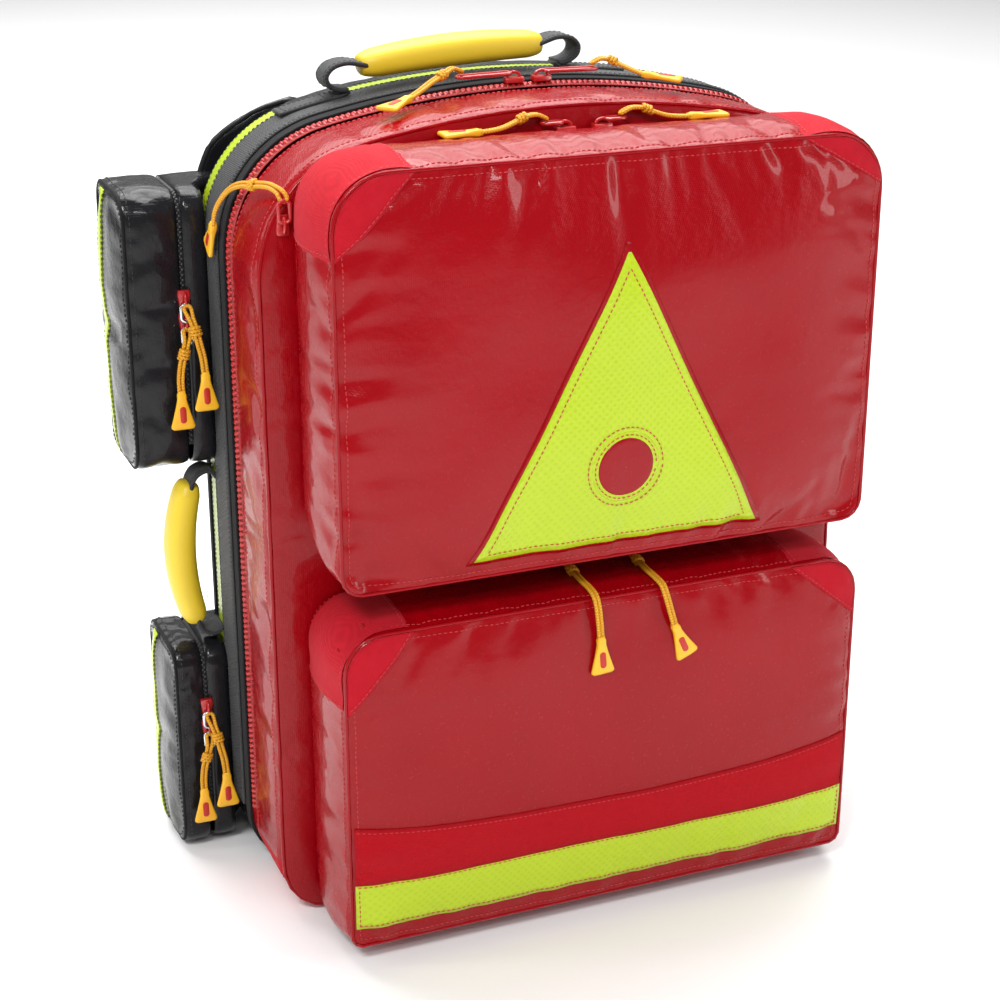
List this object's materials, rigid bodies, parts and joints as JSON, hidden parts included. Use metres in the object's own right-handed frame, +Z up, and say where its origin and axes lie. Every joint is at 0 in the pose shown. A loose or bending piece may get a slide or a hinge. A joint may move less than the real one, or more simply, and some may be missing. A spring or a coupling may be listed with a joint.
{
  "type": "trauma backpack",
  "caption": "Emergency backpack with a glossy tarpaulin body, a front lid that opens forward, front and side pockets, carrying handles and a padded harness.",
  "frame": {"origin": "under the middle of the pack, on the surface that it stands on", "axes": "+X to the right seen from the front, +Y from the front pockets towards the wearer's back, +Z up"},
  "size_m": [0.534, 0.315, 0.5785],
  "materials": {
    "tarpaulin_black": "gloss",
    "tarpaulin_red": "gloss",
    "stiffener": "plain sheet",
    "reflective_lime": "retroreflective film, glossy",
    "zipper_red": "coil zipper on woven tape",
    "zipper_black": "coil zipper on woven tape",
    "loop_red": "brushed loop tape",
    "pouch_fabric": "woven polyester",
    "mesh_pad": "spacer mesh over foam",
    "strap_padding": "woven cover over foam",
    "webbing_black": "ribbed webbing",
    "buckle_plastic": "moulded plastic",
    "grip_yellow": "moulded, satin",
    "slider_red": "lacquered die casting",
    "pull_yellow": "braided cord with a moulded tag"
  },
  "bodies": {
    "pack": {"back_shell": "tarpaulin_black", "back_plate": "stiffener", "webbing_band": "webbing_black", "reflective_band": "reflective_lime", "main_zipper": "zipper_red", "lid_hinge": "tarpaulin_red", "inner_pouches": "pouch_fabric", "back_pad": "mesh_pad", "lumbar_pad": "mesh_pad", "shoulder_strap_left": "strap_padding", "shoulder_strap_right": "strap_padding", "strap_webbing": "webbing_black", "ladder_buckles": "buckle_plastic", "hip_belt_left": "strap_padding", "hip_belt_right": "strap_padding", "hip_buckle_socket": "buckle_plastic", "side_pocket_bases": "tarpaulin_black", "side_zippers": "zipper_black", "handle_tails": "webbing_black"},
    "hip_plug": {"hip_buckle_plug": "buckle_plastic"},
    "main_lid": {"lid_shell": "tarpaulin_red", "pocket_floors": "tarpaulin_red", "pocket_zippers": "zipper_red"},
    "upper_pocket": {"upper_pocket_cover": "tarpaulin_red", "warning_triangle": "reflective_lime"},
    "lower_pocket": {"lower_pocket_cover": "tarpaulin_red", "loop_panel": "loop_red", "reflective_strip": "reflective_lime"},
    "top_handle": {"top_handle_strap": "webbing_black", "top_handle_grip": "grip_yellow"},
    "middle_zip_slider": {"middle_slider": "slider_red", "middle_pull": "pull_yellow"},
    "side_handle_left": {"side_handle_strap_left": "webbing_black", "side_handle_grip_left": "grip_yellow"},
    "side_cover_left_upper": {"side_cover_left_upper": "tarpaulin_black"},
    "side_slider_left_upper_a": {"side_pull_left_upper_a": "pull_yellow"},
    "side_slider_left_upper_b": {"side_pull_left_upper_b": "pull_yellow"},
    "side_cover_left_lower": {"side_cover_left_lower": "tarpaulin_black"},
    "side_slider_left_lower_a": {"side_pull_left_lower_a": "pull_yellow"},
    "side_slider_left_lower_b": {"side_pull_left_lower_b": "pull_yellow"},
    "main_zip_slider_left": {"main_slider_left": "slider_red", "main_pull_left": "pull_yellow"},
    "upper_zip_slider_left": {"upper_slider_left": "slider_red", "upper_pull_left": "pull_yellow"},
    "lower_zip_slider_left": {"lower_slider_left": "slider_red", "lower_pull_left": "pull_yellow"},
    "side_handle_right": {"side_handle_strap_right": "webbing_black", "side_handle_grip_right": "grip_yellow"},
    "side_cover_right_upper": {"side_cover_right_upper": "tarpaulin_black"},
    "side_slider_right_upper_a": {"side_pull_right_upper_a": "pull_yellow"},
    "side_slider_right_upper_b": {"side_pull_right_upper_b": "pull_yellow"},
    "side_cover_right_lower": {"side_cover_right_lower": "tarpaulin_black"},
    "side_slider_right_lower_a": {"side_pull_right_lower_a": "pull_yellow"},
    "side_slider_right_lower_b": {"side_pull_right_lower_b": "pull_yellow"},
    "main_zip_slider_right": {"main_slider_right": "slider_red", "main_pull_right": "pull_yellow"},
    "upper_zip_slider_right": {"upper_slider_right": "slider_red", "upper_pull_right": "pull_yellow"},
    "lower_zip_slider_right": {"lower_slider_right": "slider_red", "lower_pull_right": "pull_yellow"}
  },
  "joints": [
    {"name": "lid_opening", "type": "hinge", "parent": "pack", "child": "main_lid", "pos_m": [0, -0.006, 0], "axis": [1, 0, 0], "range_deg": [0, 150]},
    {"name": "upper_pocket_opening", "type": "hinge", "parent": "main_lid", "child": "upper_pocket", "pos_m": [0, -0.1495, 0.265], "axis": [1, 0, 0], "range_deg": [0, 110]},
    {"name": "lower_pocket_opening", "type": "hinge", "parent": "main_lid", "child": "lower_pocket", "pos_m": [0, -0.1495, 0.013], "axis": [1, 0, 0], "range_deg": [0, 90]},
    {"name": "hip_buckle_release", "type": "slide", "parent": "pack", "child": "hip_plug", "axis": [1, 0, 0], "range_m": [0, 0.036]},
    {"name": "top_handle_tilt", "type": "hinge", "parent": "pack", "child": "top_handle", "pos_m": [-0.03705, 0.038, 0.55074], "axis": [0.9984, 0, 0.0571], "range_deg": [-30, 30]},
    {"name": "side_handle_left_tilt", "type": "hinge", "parent": "pack", "child": "side_handle_left", "pos_m": [-0.2135, 0.052, 0.228], "axis": [0, 0, 1], "range_deg": [-25, 25]},
    {"name": "side_pocket_left_upper_opening", "type": "hinge", "parent": "pack", "child": "side_cover_left_upper", "pos_m": [-0.231, 0.11, 0.391], "axis": [0, 0, -1], "range_deg": [0, 100]},
    {"name": "side_zip_left_upper_a", "type": "slide", "parent": "pack", "child": "side_slider_left_upper_a", "axis": [0, 0, 1], "range_m": [0, 0.055]},
    {"name": "side_zip_left_upper_b", "type": "slide", "parent": "pack", "child": "side_slider_left_upper_b", "axis": [0, 0, -1], "range_m": [0, 0.085]},
    {"name": "side_pocket_left_lower_opening", "type": "hinge", "parent": "pack", "child": "side_cover_left_lower", "pos_m": [-0.231, 0.11, 0.082], "axis": [0, 0, -1], "range_deg": [0, 100]},
    {"name": "side_zip_left_lower_a", "type": "slide", "parent": "pack", "child": "side_slider_left_lower_a", "axis": [0, 0, 1], "range_m": [0, 0.029]},
    {"name": "side_zip_left_lower_b", "type": "slide", "parent": "pack", "child": "side_slider_left_lower_b", "axis": [0, 0, -1], "range_m": [0, 0.02]},
    {"name": "main_zip_left", "type": "hinge", "parent": "pack", "child": "main_zip_slider_left", "pos_m": [0, -0.006, -0.097], "axis": [0, -1, 0], "range_deg": [0, 8]},
    {"name": "upper_zip_left", "type": "slide", "parent": "upper_pocket", "child": "upper_zip_slider_left", "axis": [-1, 0, 0], "range_m": [0, 0.11]},
    {"name": "lower_zip_left", "type": "slide", "parent": "lower_pocket", "child": "lower_zip_slider_left", "axis": [-1, 0, 0], "range_m": [0, 0.12]},
    {"name": "side_handle_right_tilt", "type": "hinge", "parent": "pack", "child": "side_handle_right", "pos_m": [0.2135, 0.052, 0.228], "axis": [0, 0, 1], "range_deg": [-25, 25]},
    {"name": "side_pocket_right_upper_opening", "type": "hinge", "parent": "pack", "child": "side_cover_right_upper", "pos_m": [0.231, 0.11, 0.391], "axis": [0, 0, 1], "range_deg": [0, 100]},
    {"name": "side_zip_right_upper_a", "type": "slide", "parent": "pack", "child": "side_slider_right_upper_a", "axis": [0, 0, 1], "range_m": [0, 0.055]},
    {"name": "side_zip_right_upper_b", "type": "slide", "parent": "pack", "child": "side_slider_right_upper_b", "axis": [0, 0, -1], "range_m": [0, 0.085]},
    {"name": "side_pocket_right_lower_opening", "type": "hinge", "parent": "pack", "child": "side_cover_right_lower", "pos_m": [0.231, 0.11, 0.082], "axis": [0, 0, 1], "range_deg": [0, 100]},
    {"name": "side_zip_right_lower_a", "type": "slide", "parent": "pack", "child": "side_slider_right_lower_a", "axis": [0, 0, 1], "range_m": [0, 0.029]},
    {"name": "side_zip_right_lower_b", "type": "slide", "parent": "pack", "child": "side_slider_right_lower_b", "axis": [0, 0, -1], "range_m": [0, 0.02]},
    {"name": "main_zip_right", "type": "hinge", "parent": "pack", "child": "main_zip_slider_right", "pos_m": [0, -0.006, -0.097], "axis": [0, 1, 0], "range_deg": [0, 8]},
    {"name": "upper_zip_right", "type": "slide", "parent": "upper_pocket", "child": "upper_zip_slider_right", "axis": [1, 0, 0], "range_m": [0, 0.11]},
    {"name": "lower_zip_right", "type": "slide", "parent": "lower_pocket", "child": "lower_zip_slider_right", "axis": [1, 0, 0], "range_m": [0, 0.12]},
    {"name": "middle_zip", "type": "slide", "parent": "main_lid", "child": "middle_zip_slider", "axis": [0, 0, 1], "range_m": [0, 0.015]}
  ]
}
